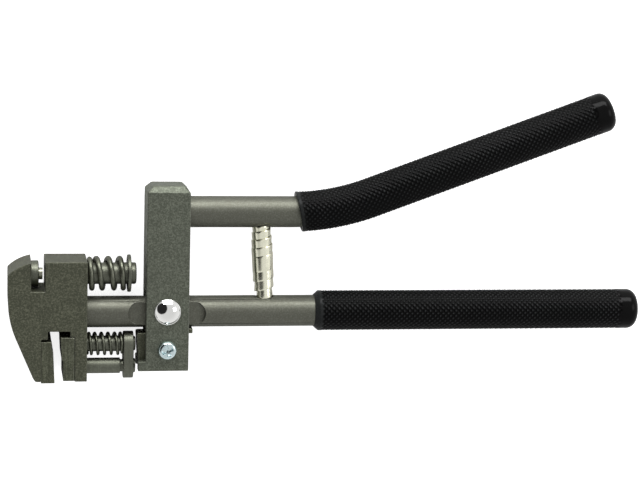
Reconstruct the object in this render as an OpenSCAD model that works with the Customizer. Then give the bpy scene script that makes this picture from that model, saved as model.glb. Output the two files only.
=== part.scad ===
// Hand punch and joggle pliers: two squeezed handles, a pivoted lever and a swivelling head.
// Millimetres. The tool lies flat on the back of its head: +X runs along the fixed bar towards
// the grips, +Y towards the upper handle and +Z up. Every piece is first drawn with the fixed
// bar's axis on X and the lever's centre at X = 0, then moved as one so that the origin is the
// bottom centre of the whole tool.

/* [Handles] */
// Diameter of both handle bars
bar_d = 16; // [15.8:0.1:16.2]
// Outer diameter of the plastic grips
grip_d = 20.8; // [19.6:0.1:21.6]
// Length of each grip along its bar
grip_length = 172; // [160:1:180]
// Far end of the lower grip, from the lever's centre line
grip_end_x = 248; // [244:1:252]
// Height of the upper bar above the fixed bar
handle_y = 51.5; // [50:0.1:53]
// Angle of the upper handle's bend in degrees
handle_bend = 20.4; // [16:0.1:23]
// Radius of the bend along the bar's centre line
bend_radius = 120; // [100:1:124]
// Where the two straight stretches of the upper bar would cross
bend_vertex_x = 84.6; // [84:0.1:88]
// Slant of the upper grip's mouth in degrees
mouth_slant = 10.7; // [0:0.1:12]

/* [Lever] */
// Width of the lever block along the bar
lever_w = 21.7; // [21.4:0.1:22.4]
// Thickness of the lever block from front to back
lever_t = 21.9; // [21.6:0.1:22.6]
// Top of the lever block above the bar's axis
lever_top_y = 65.8; // [64:0.1:68]
// Bottom of the lever block below the bar's axis
lever_bottom_y = -28.9; // [-30:0.1:-28.8]
// Chamfer round the top of the lever block
lever_chamfer = 3.1; // [2:0.1:3.6]
// Height of the pivot above the bar's axis
pivot_y = 1.75; // [1.5:0.05:1.9]
// Diameter of the pivot pin
pivot_d = 8; // [7:0.1:8.4]
// Widest the pliers' lever turns in degrees as the handles close
close_angle = 8; // [6:0.1:8]

/* [Head] */
// Thickness of the head block from front to back
head_t = 25.6; // [25.4:0.1:26.4]
// Left face of the head
head_left_x = -80; // [-81:0.1:-79.6]
// Right face of the head, where the plungers come out
head_right_x = -40.5; // [-40.8:0.1:-40.2]
// Top face of the head
head_top_y = 27.7; // [27.4:0.1:29]
// Bottom of the head's two legs
head_bottom_y = -33.5; // [-34:0.1:-33.2]
// Diameter of the bar's spigot, on which the head swivels
spigot_d = 12; // [11:0.1:12.4]

/* [Punch] */
// Height of the punch and its die above the bar's axis
punch_y = 19.8; // [19.6:0.1:20]
// Diameter of the punch tip
punch_d = 6; // [4:0.1:6.2]
// Diameter of the die plunger
plunger_d = 11; // [10.6:0.1:11]
// Outer diameter of the die plunger's spring
die_spring_d = 17.8; // [17.2:0.1:18.4]

/* [Joggle jaws] */
// Height of the drive rod's axis, below the bar's axis
drive_rod_y = -16.6; // [-16.8:0.1:-16.4]
// Height of the guide rod's axis, below the bar's axis
guide_rod_y = -28.1; // [-28.2:0.1:-28]
// Diameter of both rods
rod_d = 8; // [7.6:0.1:8]
// Outer diameter of the joggle jaw's return spring
joggle_spring_d = 12.1; // [11.4:0.1:12.4]
// Step that the jaws press into the sheet
joggle_step = 0.8; // [0.5:0.1:0.9]

/* [Hidden] */
$fn = 64;

// A cut runs this far past the face that it opens
past = 1;
// Gap between faces of different bodies that meet, and radial clearance of every running fit
face_gap = 0.05;
running = 0.04;

// Bars
bar_r = bar_d / 2;
grip_r = grip_d / 2;
grip_end_wall = 4;
grip_end_round = 5;
mouth_chamfer = (grip_d - bar_d) / 2;
bar_end_x = grip_end_x - grip_end_wall;
flat_half = 5.5;
flat_left_x = -19.8;
flat_right_x = 19.6;
flat_end_r = 6;

// Upper handle: straight, bend, straight
bend_start_x = bend_vertex_x - bend_radius * tan(handle_bend / 2);
upper_mouth_x = 67;
arc_before_mouth = upper_mouth_x - bend_start_x;
bend_length = bend_radius * handle_bend * PI / 180;
grip_run = grip_length - (bend_length - arc_before_mouth);
bar_run = grip_run - grip_end_wall;
cap_run = grip_run - grip_end_round;
bend_end_x = bend_start_x + bend_radius * sin(handle_bend);
bend_end_y = handle_y + bend_radius * (1 - cos(handle_bend));
handle_bar_start_x = -7;
ring_sides = 48;
bend_steps = 12;

// Lever, fork and pusher block
lever_left = -lever_w / 2;
lever_right = lever_w / 2;
lever_front = lever_t / 2;
fork_half = 5.6;
fork_clear = 1.5;
fork_top_y = pivot_y + (bar_r - pivot_y) * cos(close_angle) + lever_right * sin(close_angle) + fork_clear;
toe_left_x = -14.7;
toe_top_y = -23.9;
pusher_top_x = -15.1;
pusher_low_x = -14.1;
pusher_top_y = -10.3;
pusher_bottom_y = -28.5;
pusher_right_x = 10.5;
pusher_corner = 0.6;
stop_left_x = 9;
stop_right_x = 13.3;
stop_bottom_y = -10.5;
screw_y = -17.9;
screw_d = 5;
screw_head_d = 9.6;
screw_head_h = 3.3;
recess_arm = 5.2;
recess_slot = 1.1;
recess_deep = 1.8;
dome_d = 13.4;
dome_h = 3.4;
pivot_washer_t = 0.8;
pivot_clip_t = 0.8;
handle_pin_d = 4;
handle_pin_x = 2;
handle_pin_front = 4;

// Volute spring, a flat strip wound into a barrel that leans a little, its turns just clear
volute_low = [50.4, bar_r - 0.9];
volute_high = [48, handle_y - bar_r + 0.9];
volute_seat_d = 9.4;
volute_seat_deep = 1.2;
volute_end_r = 3.6;
volute_mid_r = 5.1;
volute_strip = 0.9;
volute_width = 4.4;
volute_turns = 6.5;

// Head
head_half = head_t / 2;
crown_r = 22;
crown_x = -64.5;
flank_r = 50;
flank_turn = 23.4;
flank_top_y = 8;
toe_x = -66.4;
throat_left_x = -68.5;
throat_right_x = -61.6;
throat_floor_y = 12.7;
slot_left_x = -60.2;
slot_right_x = -49;
slot_top_y = -7.7;
pocket_left_x = -63.5;
pocket_left_y = -11.8;
pocket_right_x = -46.7;
pocket_right_y = -10.5;
spigot_end_x = -72;
spigot_r = spigot_d / 2;

// Head retention and detent
swivel_pin_d = 3;
swivel_groove_r = 4.4;
swivel_pin_y = swivel_groove_r + face_gap + swivel_pin_d / 2;
swivel_pin_x = -67.6;
swivel_pin_front = 8;
detent_x = -45.4;
detent_ball_r = 1.75;
detent_track_r = spigot_r - 0.8;
detent_ball_z = -(detent_track_r + face_gap + detent_ball_r);
detent_hole_d = 5;
detent_bore_d = 3.6;
detent_grub_t = 1.5;
detent_spring_r = 1.3;
detent_wire = 0.4;
detent_turns = 3;

// Pitch of a coil's closed end turns, as a share of its free pitch
coil_closed = 0.62;

// Punch and die
collar_d = 13.3;
collar_face_x = -64.6;
punch_tip_x = -62.6;
punch_shank_d = 8;
punch_shoulder_x = -66.2;
punch_end_x = -76.5;
punch_grub_x = -73;
punch_grub_d = 4;
die_clearance = 0.1;
die_land = 3;
die_relief = 12;
plunger_end_x = -15.45;
washer_left_x = -19.9;
washer_right_x = -18.2;
washer_d = 19;
clip_groove_d = 9.6;
clip_d = 14;
clip_t = 0.9;
die_wire = 2.8;
die_turns = 3.75;

// Joggle jaws
anvil_left_x = pocket_left_x;
anvil_top_y = -13;
anvil_bottom_y = -34.2;
anvil_step_y = -17.8;
anvil_face_x = -58.25;
anvil_lean = 0.8;
jaw_top_y = -10.8;
jaw_bottom_y = -33.1;
jaw_step_y = -22.3;
jaw_right_x = -46.75;
jaw_face_x = -52.45;
jaw_lean = 0.6;
rod_spigot_d = 6;
rod_spigot_x = -51.2;
jaw_pin_d = 2;
jaw_pin_x = -49.2;
jaw_pin_front = 5;
plate_left_x = -21.7;
plate_right_x = -16.6;
plate_r = 6.4;
rod_end_d = 7.4;
rod_end_x = -15.45;
neck_d = 6.4;
neck_w = 1.5;
joggle_wire = 1.5;
joggle_turns = 5.9;
anvil_screw_y = -22;
anvil_screw_z = 6.5;
anvil_screw_d = 4;
anvil_screw_head_d = 7;
anvil_screw_head_x = -70;
anvil_screw_floor_x = -67.6;
anvil_screw_end_x = -60.5;

// Whole-tool extents, which fix the origin
x_low = head_left_x;
x_high = grip_end_x;
y_low = (drive_rod_y + guide_rod_y) / 2 - (drive_rod_y - guide_rod_y) / 2 - plate_r;
y_high = bend_end_y + cap_run * sin(handle_bend) + (grip_r - grip_end_round) * cos(handle_bend)
    + grip_end_round;
origin_shift = [-(x_low + x_high) / 2, -(y_low + y_high) / 2, head_half];

// Round bar along X between two places
module bar_x(x0, x1, d, y = 0, z = 0) {
    translate([x0, y, z])
        rotate([0, 90, 0])
            cylinder(h = x1 - x0, d = d);
}

// Round bar along Z between two heights
module bar_z(x, y, z0, z1, d) {
    translate([x, y, z0])
        cylinder(h = z1 - z0, d = d);
}

// Round bar along Y between two heights
module bar_y(x, y0, y1, d) {
    translate([x, y1, 0])
        rotate([90, 0, 0])
            cylinder(h = y1 - y0, d = d);
}

// Block between two corners
module block(low, high) {
    translate(low)
        cube(high - low);
}

// Points of a ring profile, turned about Z and laid along X
module turned_x(points) {
    rotate([0, 90, 0])
        rotate_extrude()
            polygon(points);
}

// Arc of points about a centre, from one angle to another
function arc(c, r, a0, a1, n = 10) =
    [for (i = [0 : n]) c + r * [cos(a0 + (a1 - a0) * i / n), sin(a0 + (a1 - a0) * i / n)]];

// Closed tube whose rings are lists of points, wound so that its faces point outwards
module ring_tube(rings) {
    n = len(rings);
    m = len(rings[0]);
    points = [for (ring = rings) each ring];
    walls = [
        for (i = [0 : n - 2], j = [0 : m - 1])
            [i * m + j, i * m + (j + 1) % m, (i + 1) * m + (j + 1) % m, (i + 1) * m + j]
    ];
    first_cap = [[for (j = [0 : m - 1]) m - 1 - j]];
    last_cap = [[for (j = [0 : m - 1]) (n - 1) * m + j]];
    polyhedron(points, concat(walls, first_cap, last_cap));
}

// How far a coil has climbed after s turns, in pitches: its first and last turns lie closer
function climb(s, turns) =
    s > turns / 2 ? turns - 2 + 2 * coil_closed - climb(turns - s, turns)
    : s < 1 ? coil_closed * (s * s + s) / 2
    : coil_closed + s - 1;

// Right-handed coil of round wire along X between two faces
module coil_x(x0, x1, y, outer_d, wire, turns, sides = 8, per_turn = 22, start = 0) {
    r = (outer_d - wire) / 2;
    pitch = (x1 - x0 - wire) / climb(turns, turns);
    steps = round(turns * per_turn);
    rings = [
        for (i = [0 : steps])
            let (s = turns * i / steps, a = start + 360 * s)
            let (x = x0 + wire / 2 + pitch * climb(s, turns))
            [for (j = [0 : sides - 1])
                let (b = 360 * j / sides, rr = r + wire / 2 * cos(b))
                [x + wire / 2 * sin(b), y + rr * cos(a), rr * sin(a)]]
    ];
    ring_tube(rings);
}

// Ring of a radius about a place on the upper handle's axis, square to its direction there
function square_ring(c, turn, r) = [
    for (j = [0 : ring_sides - 1])
        let (b = 360 * j / ring_sides)
        [c[0] - r * cos(b) * sin(turn), c[1] + r * cos(b) * cos(turn), -r * sin(b)]
];

// Rings of the upper handle, from a place on its first straight to the end of the bend
function bend_rings(x0, r) = concat(
    [square_ring([x0, handle_y], 0, r)],
    [for (i = [0 : bend_steps])
        let (a = handle_bend * i / bend_steps, rise = bend_radius * (1 - cos(a)))
        square_ring([bend_start_x + bend_radius * sin(a), handle_y + rise], a, r)]
);

// Ring of the upper handle, a distance past the end of the bend
function run_ring(s, r) =
    square_ring([bend_end_x, bend_end_y] + s * [cos(handle_bend), sin(handle_bend)], handle_bend, r);

// Solid round the upper handle's axis, from a place before the bend to the bar's far end
module handle_core(x0) {
    ring_tube(concat(bend_rings(x0, bar_r), [run_ring(bar_run, bar_r)]));
}

module fixed_bar() {
    color("slategray")
    difference() {
        union() {
            bar_x(head_right_x + face_gap, bar_end_x, bar_d);
            bar_x(spigot_end_x, head_right_x + 2, spigot_d);
        }
        // Milled flats that the fork straddles
        for (side = [-1, 1]) {
            z0 = side > 0 ? flat_half : -bar_d;
            z1 = side > 0 ? bar_d : -flat_half;
            for (x = [flat_left_x + flat_end_r, flat_right_x - flat_end_r])
                bar_z(x, 0, z0, z1, 2 * flat_end_r);
            block(
                [flat_left_x + flat_end_r, -flat_end_r, z0],
                [flat_right_x - flat_end_r, flat_end_r, z1]
            );
        }
        bar_z(0, pivot_y, -bar_d, bar_d, pivot_d + 2 * running);
        bar_y(volute_low[0], bar_r - volute_seat_deep, bar_d, volute_seat_d);
        // Groove for the swivel pins, and the detent's track with its two dimples
        ring_cut(swivel_pin_x, swivel_pin_d + 2 * face_gap, swivel_groove_r);
        ring_cut(detent_x, 2 * detent_ball_r, detent_track_r);
        for (side = [-1, 1])
            translate([detent_x, 0, side * (detent_track_r + detent_ball_r - 0.5)])
                sphere(r = detent_ball_r, $fn = 32);
    }
}

// Ring-shaped cut in the spigot, of a width, down to a radius
module ring_cut(x, w, r) {
    difference() {
        bar_x(x - w / 2, x + w / 2, spigot_d + 2);
        bar_x(x - w, x + w, 2 * r);
    }
}

module lower_grip() {
    x0 = grip_end_x - grip_length;
    color("dimgray")
    turned_x(concat(
        [[bar_r, x0], [grip_r, x0 + mouth_chamfer]],
        arc([grip_r - grip_end_round, grip_end_x - grip_end_round], grip_end_round, 0, 90, 8),
        [[0, grip_end_x], [0, bar_end_x], [bar_r, bar_end_x]]
    ));
}

module upper_handle_bar() {
    color("lightslategray")
    difference() {
        handle_core(handle_bar_start_x);
        bar_y(volute_high[0], 0, handle_y - bar_r + volute_seat_deep, volute_seat_d);
        bar_z(handle_pin_x, handle_y, -lever_t, handle_pin_front, handle_pin_d);
    }
}

module upper_grip() {
    rounding = arc([grip_r - grip_end_round, cap_run], grip_end_round, 0, 90, 8);
    color("dimgray")
    difference() {
        ring_tube(concat(
            bend_rings(bend_start_x - past, grip_r),
            [for (p = rounding) run_ring(p[1], p[0])]
        ));
        handle_core(bend_start_x - 4 * past);
        translate([upper_mouth_x, handle_y, 0])
            rotate([0, 0, mouth_slant])
                block([-3 * grip_d, -grip_d, -grip_d], [0, grip_d, grip_d]);
    }
}

// Outline of the lever block seen from the front, with its toe
module lever_front_outline() {
    c = lever_chamfer;
    polygon([
        [lever_left, lever_top_y - c], [lever_left + c, lever_top_y], [lever_right - c, lever_top_y],
        [lever_right, lever_top_y - c], [lever_right, lever_bottom_y],
        [toe_left_x, lever_bottom_y], [toe_left_x, toe_top_y], [lever_left, toe_top_y]
    ]);
}

// Outline of the lever block seen from the side, in Y and Z
module lever_side_outline() {
    c = lever_chamfer;
    polygon([
        [lever_bottom_y, -lever_front], [lever_top_y - c, -lever_front],
        [lever_top_y, c - lever_front], [lever_top_y, lever_front - c],
        [lever_top_y - c, lever_front], [lever_bottom_y, lever_front]
    ]);
}

module lever_block() {
    color("darkolivegreen")
    difference() {
        intersection() {
            linear_extrude(lever_t, center = true)
                lever_front_outline();
            rotate([0, 90, 0])
                rotate([0, 0, 90])
                    linear_extrude(4 * lever_w, center = true)
                        lever_side_outline();
        }
        block(
            [2 * toe_left_x, lever_bottom_y - past, -fork_half],
            [lever_w, fork_top_y, fork_half]
        );
        bar_x(handle_bar_start_x, lever_w, bar_d, handle_y);
        bar_z(0, pivot_y, -lever_t, lever_t, pivot_d);
        bar_z(0, screw_y, 0, lever_t, screw_d + 0.3);
        bar_z(0, screw_y, -lever_t, 0, screw_d);
        bar_z(handle_pin_x, handle_y, -lever_t, 0, handle_pin_d);
    }
}

module handle_pin() {
    color("gray")
    bar_z(handle_pin_x, handle_y, -lever_front, handle_pin_front, handle_pin_d);
}

module pusher_block() {
    color("darkslategray")
    difference() {
        linear_extrude(2 * fork_half, center = true)
            polygon([
                [pusher_top_x, pusher_top_y - pusher_corner], [pusher_low_x, pusher_bottom_y],
                [pusher_right_x, pusher_bottom_y], [pusher_right_x, stop_bottom_y],
                [stop_right_x, stop_bottom_y], [stop_right_x, -bar_r - face_gap],
                [stop_left_x, -bar_r - face_gap], [stop_left_x, pusher_top_y],
                [pusher_top_x + pusher_corner, pusher_top_y]
            ]);
        bar_z(0, screw_y, -lever_t, lever_t, screw_d + 0.1);
    }
}

module pivot_pin() {
    dome_r = (pow(dome_d / 2, 2) + pow(dome_h, 2)) / (2 * dome_h);
    dome_angle = asin(dome_d / 2 / dome_r);
    tail = pivot_washer_t + pivot_clip_t + 0.15;
    color("gainsboro")
    translate([0, pivot_y, 0])
        difference() {
            union() {
                bar_z(0, 0, -lever_front - tail, lever_front, pivot_d);
                translate([0, 0, lever_front])
                    rotate_extrude()
                        polygon(concat(
                            [[0, 0]],
                            arc([0, dome_h - dome_r], dome_r, 90 - dome_angle, 90, 12)
                        ));
            }
            translate([0, 0, -lever_front - pivot_washer_t - pivot_clip_t])
                difference() {
                    cylinder(h = pivot_clip_t, d = pivot_d + 2);
                    cylinder(h = pivot_clip_t, d = pivot_d - 1.2);
                }
        }
}

module pivot_washer() {
    color("silver")
    difference() {
        bar_z(0, pivot_y, -lever_front - pivot_washer_t, -lever_front, 14);
        bar_z(0, pivot_y, -lever_t, 0, pivot_d + 0.1);
    }
}

// Open retaining ring with two lugs, lying in the plane square to Z
module circlip(groove_d, outer_d, t) {
    difference() {
        union() {
            cylinder(h = t, d = outer_d);
            for (side = [-1, 1])
                translate([side * 1.4, -outer_d / 2 - 0.2, 0])
                    cylinder(h = t, r = 1, $fn = 24);
        }
        cylinder(h = 3 * t, d = groove_d, center = true);
        translate([-0.5, -outer_d, -t])
            cube([1, outer_d, 3 * t]);
    }
}

module pivot_circlip() {
    color("dimgray")
    translate([0, pivot_y, -lever_front - pivot_washer_t - pivot_clip_t])
        circlip(pivot_d - 1.2, pivot_d + 2.4, pivot_clip_t);
}

module pusher_screw() {
    crown = 1.5;
    color("lightsteelblue")
    translate([0, screw_y, 0])
        difference() {
            union() {
                bar_z(0, 0, -lever_front, lever_front, screw_d);
                translate([0, 0, lever_front])
                    rotate_extrude()
                        polygon(concat(
                            [[0, 0], [screw_head_d / 2, 0], [screw_head_d / 2, screw_head_h - crown]],
                            arc([screw_head_d / 2 - crown, screw_head_h - crown], crown, 15, 75, 5),
                            [[0, screw_head_h]]
                        ));
            }
            for (turn = [0, 90])
                rotate([0, 0, turn + 20])
                    translate([-recess_arm / 2, -recess_slot / 2, lever_front + screw_head_h - recess_deep])
                        cube([recess_arm, recess_slot, recess_deep + past]);
        }
}

// Radius of the barrel at a share of the way up it
function barrel_r(t) = volute_end_r + (volute_mid_r - volute_end_r) * pow(sin(180 * t), 0.8);

module volute_spring() {
    lean = volute_high - volute_low;
    tall = norm(lean);
    steps = 150;
    rise = tall - volute_width;
    rings = [
        for (i = [0 : steps])
            let (t = i / steps, a = 360 * volute_turns * t)
            let (r = barrel_r(t), y = rise * t, s = volute_strip / 2)
            [for (c = [[-s, 0], [s, 0], [s, volute_width], [-s, volute_width]])
                [(r + c[0]) * cos(a), y + c[1], -(r + c[0]) * sin(a)]]
    ];
    color("silver")
    translate([volute_low[0], volute_low[1], 0])
        rotate([0, 0, atan2(-lean[0], lean[1])])
            ring_tube(rings);
}

// Outline of the head: crown, straight back, curved flank, sloping flank and the two slots
module head_outline() {
    crown_angle = acos((crown_x - head_left_x) / crown_r);
    flank_x = head_left_x + flank_r;
    difference() {
        polygon(concat(
            [[head_right_x, head_bottom_y], [head_right_x, head_top_y]],
            arc([crown_x, head_top_y - crown_r], crown_r, 90, 180 - crown_angle, 12),
            arc([flank_x, flank_top_y], flank_r, 180, 180 + flank_turn, 12),
            [[toe_x - 1.1, head_bottom_y + 1.9], [toe_x, head_bottom_y + 0.3], [toe_x + 0.9, head_bottom_y]]
        ));
        square_between([throat_left_x, throat_floor_y], [throat_right_x, head_top_y + past]);
        square_between([slot_left_x, head_bottom_y - past], [slot_right_x, slot_top_y]);
        square_between([pocket_left_x, head_bottom_y - past], [slot_left_x + past, pocket_left_y]);
        square_between([slot_right_x - past, head_bottom_y - past], [pocket_right_x, pocket_right_y]);
    }
}

module square_between(low, high) {
    translate(low)
        square(high - low);
}

module head_block() {
    color("darkolivegreen")
    difference() {
        linear_extrude(head_t, center = true)
            head_outline();
        bar_x(spigot_end_x - 0.5, head_right_x + past, spigot_d + 2 * running);
        bar_x(throat_right_x - past, head_right_x + past, plunger_d + 2 * running, punch_y);
        bar_x(punch_end_x, throat_left_x + past, punch_shank_d, punch_y);
        for (y = [drive_rod_y, guide_rod_y])
            bar_x(pocket_right_x - past, head_right_x + past, rod_d + 2 * running, y);
        for (side = [-1, 1])
            bar_z(swivel_pin_x, side * swivel_pin_y, -head_t, swivel_pin_front, swivel_pin_d);
        bar_z(detent_x, 0, -head_t, -head_half + detent_grub_t, detent_hole_d);
        bar_z(detent_x, 0, -head_t, 0, detent_bore_d);
        bar_z(punch_grub_x, punch_y, -head_t, 0, punch_grub_d);
        for (side = [-1, 1]) {
            z = side * anvil_screw_z;
            bar_x(anvil_screw_floor_x - past, pocket_left_x + past, anvil_screw_d, anvil_screw_y, z);
            bar_x(head_left_x, anvil_screw_floor_x, anvil_screw_head_d + 0.4, anvil_screw_y, z);
        }
    }
}

module swivel_pins() {
    color("gray")
    for (side = [-1, 1])
        bar_z(swivel_pin_x, side * swivel_pin_y, -head_half, swivel_pin_front, swivel_pin_d);
}

module detent_ball() {
    color("silver")
    translate([detent_x, 0, detent_ball_z])
        sphere(r = detent_ball_r, $fn = 32);
}

module detent_spring() {
    z_top = detent_ball_z - detent_ball_r;
    z_low = -head_half + detent_grub_t;
    color("gray")
    translate([detent_x, 0, z_low])
        rotate([0, -90, 0])
            coil_x(0, z_top - z_low, 0, 2 * detent_spring_r + detent_wire, detent_wire, detent_turns, 6, 16);
}

module detent_grub_screw() {
    color("dimgray")
    difference() {
        bar_z(detent_x, 0, -head_half, -head_half + detent_grub_t, detent_hole_d);
        bar_z(detent_x, 0, -head_t, -head_half + 1, 2.5, $fn = 6);
    }
}

module punch() {
    color("lightgray")
    difference() {
        union() {
            bar_x(punch_end_x, punch_shoulder_x, punch_shank_d, punch_y);
            bar_x(punch_shoulder_x - past, punch_tip_x, punch_d, punch_y);
        }
        // Cutting face ground hollow
        translate([punch_tip_x, punch_y, 0])
            rotate([0, 90, 0])
                cylinder(h = 1, r1 = 0, r2 = punch_d, center = true);
    }
}

module punch_collar() {
    edge = 0.5;
    color("lightgray")
    translate([throat_left_x, punch_y, 0])
        difference() {
            turned_x([
                [0, 0], [collar_d / 2, 0], [collar_d / 2, collar_face_x - throat_left_x - edge],
                [collar_d / 2 - edge, collar_face_x - throat_left_x], [0, collar_face_x - throat_left_x]
            ]);
            bar_x(-past, punch_shoulder_x - throat_left_x, punch_shank_d);
            bar_x(0, collar_d, punch_d);
        }
}

module punch_grub_screw() {
    z_in = -punch_shank_d / 2;
    color("dimgray")
    difference() {
        bar_z(punch_grub_x, punch_y, -head_half + 1, z_in, punch_grub_d);
        bar_z(punch_grub_x, punch_y, -head_t, -head_half + 3, 2, $fn = 6);
        // The tip is hollowed to sit on the round shank
        bar_x(punch_grub_x - punch_grub_d, punch_grub_x + punch_grub_d, punch_shank_d, punch_y);
    }
}

module die_plunger() {
    edge = 0.8;
    color("gray")
    difference() {
        translate([0, punch_y, 0])
            turned_x([
                [0, throat_right_x], [plunger_d / 2, throat_right_x],
                [plunger_d / 2, washer_right_x - clip_t], [clip_groove_d / 2, washer_right_x - clip_t],
                [clip_groove_d / 2, washer_right_x], [plunger_d / 2, washer_right_x],
                [plunger_d / 2, plunger_end_x - edge], [plunger_d / 2 - edge, plunger_end_x],
                [0, plunger_end_x]
            ]);
        bar_x(throat_right_x - past, throat_right_x + die_land, punch_d + 2 * die_clearance, punch_y);
        bar_x(throat_right_x + die_land, throat_right_x + die_relief, punch_d + 1.4, punch_y);
    }
}

module die_spring() {
    color("dimgray")
    coil_x(head_right_x, washer_left_x, punch_y, die_spring_d, die_wire, die_turns);
}

module plunger_washer() {
    color("gray")
    difference() {
        bar_x(washer_left_x, washer_right_x, washer_d, punch_y);
        bar_x(washer_left_x - past, washer_right_x + past, plunger_d, punch_y);
        bar_x(washer_right_x - clip_t, washer_right_x + past, clip_d + 0.2, punch_y);
    }
}

module plunger_circlip() {
    color("dimgray")
    translate([washer_right_x - clip_t, punch_y, 0])
        rotate([0, 90, 0])
            difference() {
                cylinder(h = clip_t, d = clip_d);
                cylinder(h = 3 * clip_t, d = clip_groove_d, center = true);
                translate([0, -1.5, -clip_t])
                    cube([clip_d, 3, 3 * clip_t]);
            }
}

module joggle_anvil() {
    color("darkslategray")
    difference() {
        linear_extrude(head_t, center = true)
            polygon([
                [anvil_left_x, anvil_top_y], [anvil_left_x, anvil_bottom_y],
                [anvil_face_x + joggle_step + anvil_lean, anvil_bottom_y],
                [anvil_face_x + joggle_step, anvil_step_y],
                [anvil_face_x, anvil_step_y + 0.4], [anvil_face_x, anvil_top_y]
            ]);
        for (side = [-1, 1])
            bar_x(
                anvil_left_x - past, anvil_screw_end_x, anvil_screw_d,
                anvil_screw_y, side * anvil_screw_z
            );
    }
}

module anvil_screws() {
    color("dimgray")
    for (side = [-1, 1])
        translate([0, anvil_screw_y, side * anvil_screw_z])
            difference() {
                union() {
                    bar_x(anvil_screw_head_x, anvil_screw_floor_x, anvil_screw_head_d);
                    bar_x(anvil_screw_head_x + 1, anvil_screw_end_x, anvil_screw_d);
                }
                bar_x(anvil_screw_head_x - past, anvil_screw_head_x + 1.6, 3.4, $fn = 6);
            }
}

module joggle_jaw() {
    color("darkslategray")
    difference() {
        linear_extrude(head_t, center = true)
            polygon([
                [jaw_right_x, jaw_top_y], [jaw_face_x - joggle_step - jaw_lean, jaw_top_y],
                [jaw_face_x - joggle_step, jaw_step_y], [jaw_face_x, jaw_step_y - 0.4],
                [jaw_face_x, jaw_bottom_y], [jaw_right_x, jaw_bottom_y]
            ]);
        for (y = [drive_rod_y, guide_rod_y]) {
            bar_x(rod_spigot_x, jaw_right_x + past, rod_spigot_d, y);
            bar_z(jaw_pin_x, y, -head_t, jaw_pin_front, jaw_pin_d);
        }
    }
}

// Rod of the joggle jaw: spigot in the jaw, sliding length, and reduced end in the link plate
module jaw_rod(y, neck) {
    difference() {
        union() {
            bar_x(rod_spigot_x, jaw_right_x + past, rod_spigot_d, y);
            bar_x(jaw_right_x, plate_left_x, rod_d, y);
            bar_x(plate_left_x - past, rod_end_x, rod_end_d, y);
        }
        bar_z(jaw_pin_x, y, -head_t, jaw_pin_front, jaw_pin_d);
        if (neck)
            translate([plate_left_x - neck_w, y, 0])
                turned_x([[neck_d / 2, 0], [rod_d, 0], [rod_d, neck_w], [neck_d / 2, neck_w]]);
    }
}

module drive_rod() {
    color("slategray")
    jaw_rod(drive_rod_y, false);
}

module guide_rod() {
    color("slategray")
    jaw_rod(guide_rod_y, true);
}

module jaw_pins() {
    color("gray")
    for (y = [drive_rod_y, guide_rod_y])
        bar_z(jaw_pin_x, y, -head_half, jaw_pin_front, jaw_pin_d);
}

module link_plate() {
    color("slategray")
    difference() {
        union() {
            for (y = [drive_rod_y, guide_rod_y])
                bar_x(plate_left_x, plate_right_x, 2 * plate_r, y);
            block([plate_left_x, guide_rod_y, -plate_r], [plate_right_x, drive_rod_y, plate_r]);
        }
        for (y = [drive_rod_y, guide_rod_y])
            bar_x(plate_left_x - past, plate_right_x + past, rod_end_d, y);
    }
}

module joggle_spring() {
    color("dimgray")
    coil_x(head_right_x, plate_left_x, drive_rod_y, joggle_spring_d, joggle_wire, joggle_turns, start = 180);
}

translate(origin_shift) {
    fixed_bar();
    lower_grip();
    lever_block();
    upper_handle_bar();
    handle_pin();
    upper_grip();
    pivot_pin();
    pivot_washer();
    pivot_circlip();
    pusher_block();
    pusher_screw();
    volute_spring();
    head_block();
    swivel_pins();
    detent_ball();
    detent_spring();
    detent_grub_screw();
    punch();
    punch_collar();
    punch_grub_screw();
    die_plunger();
    die_spring();
    plunger_washer();
    plunger_circlip();
    joggle_anvil();
    anvil_screws();
    joggle_jaw();
    drive_rod();
    guide_rod();
    jaw_pins();
    link_plate();
    joggle_spring();
}
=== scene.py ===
import logging
import math
from dataclasses import dataclass, field
from enum import Enum
from functools import partialmethod
from typing import Iterable, Mapping

import bmesh
import bpy
import numpy as np
from bpy.types import ID, Material, Node, NodeSocket, NodeTree, Object
from mathutils import Matrix, Vector
from numpy.typing import ArrayLike


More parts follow.
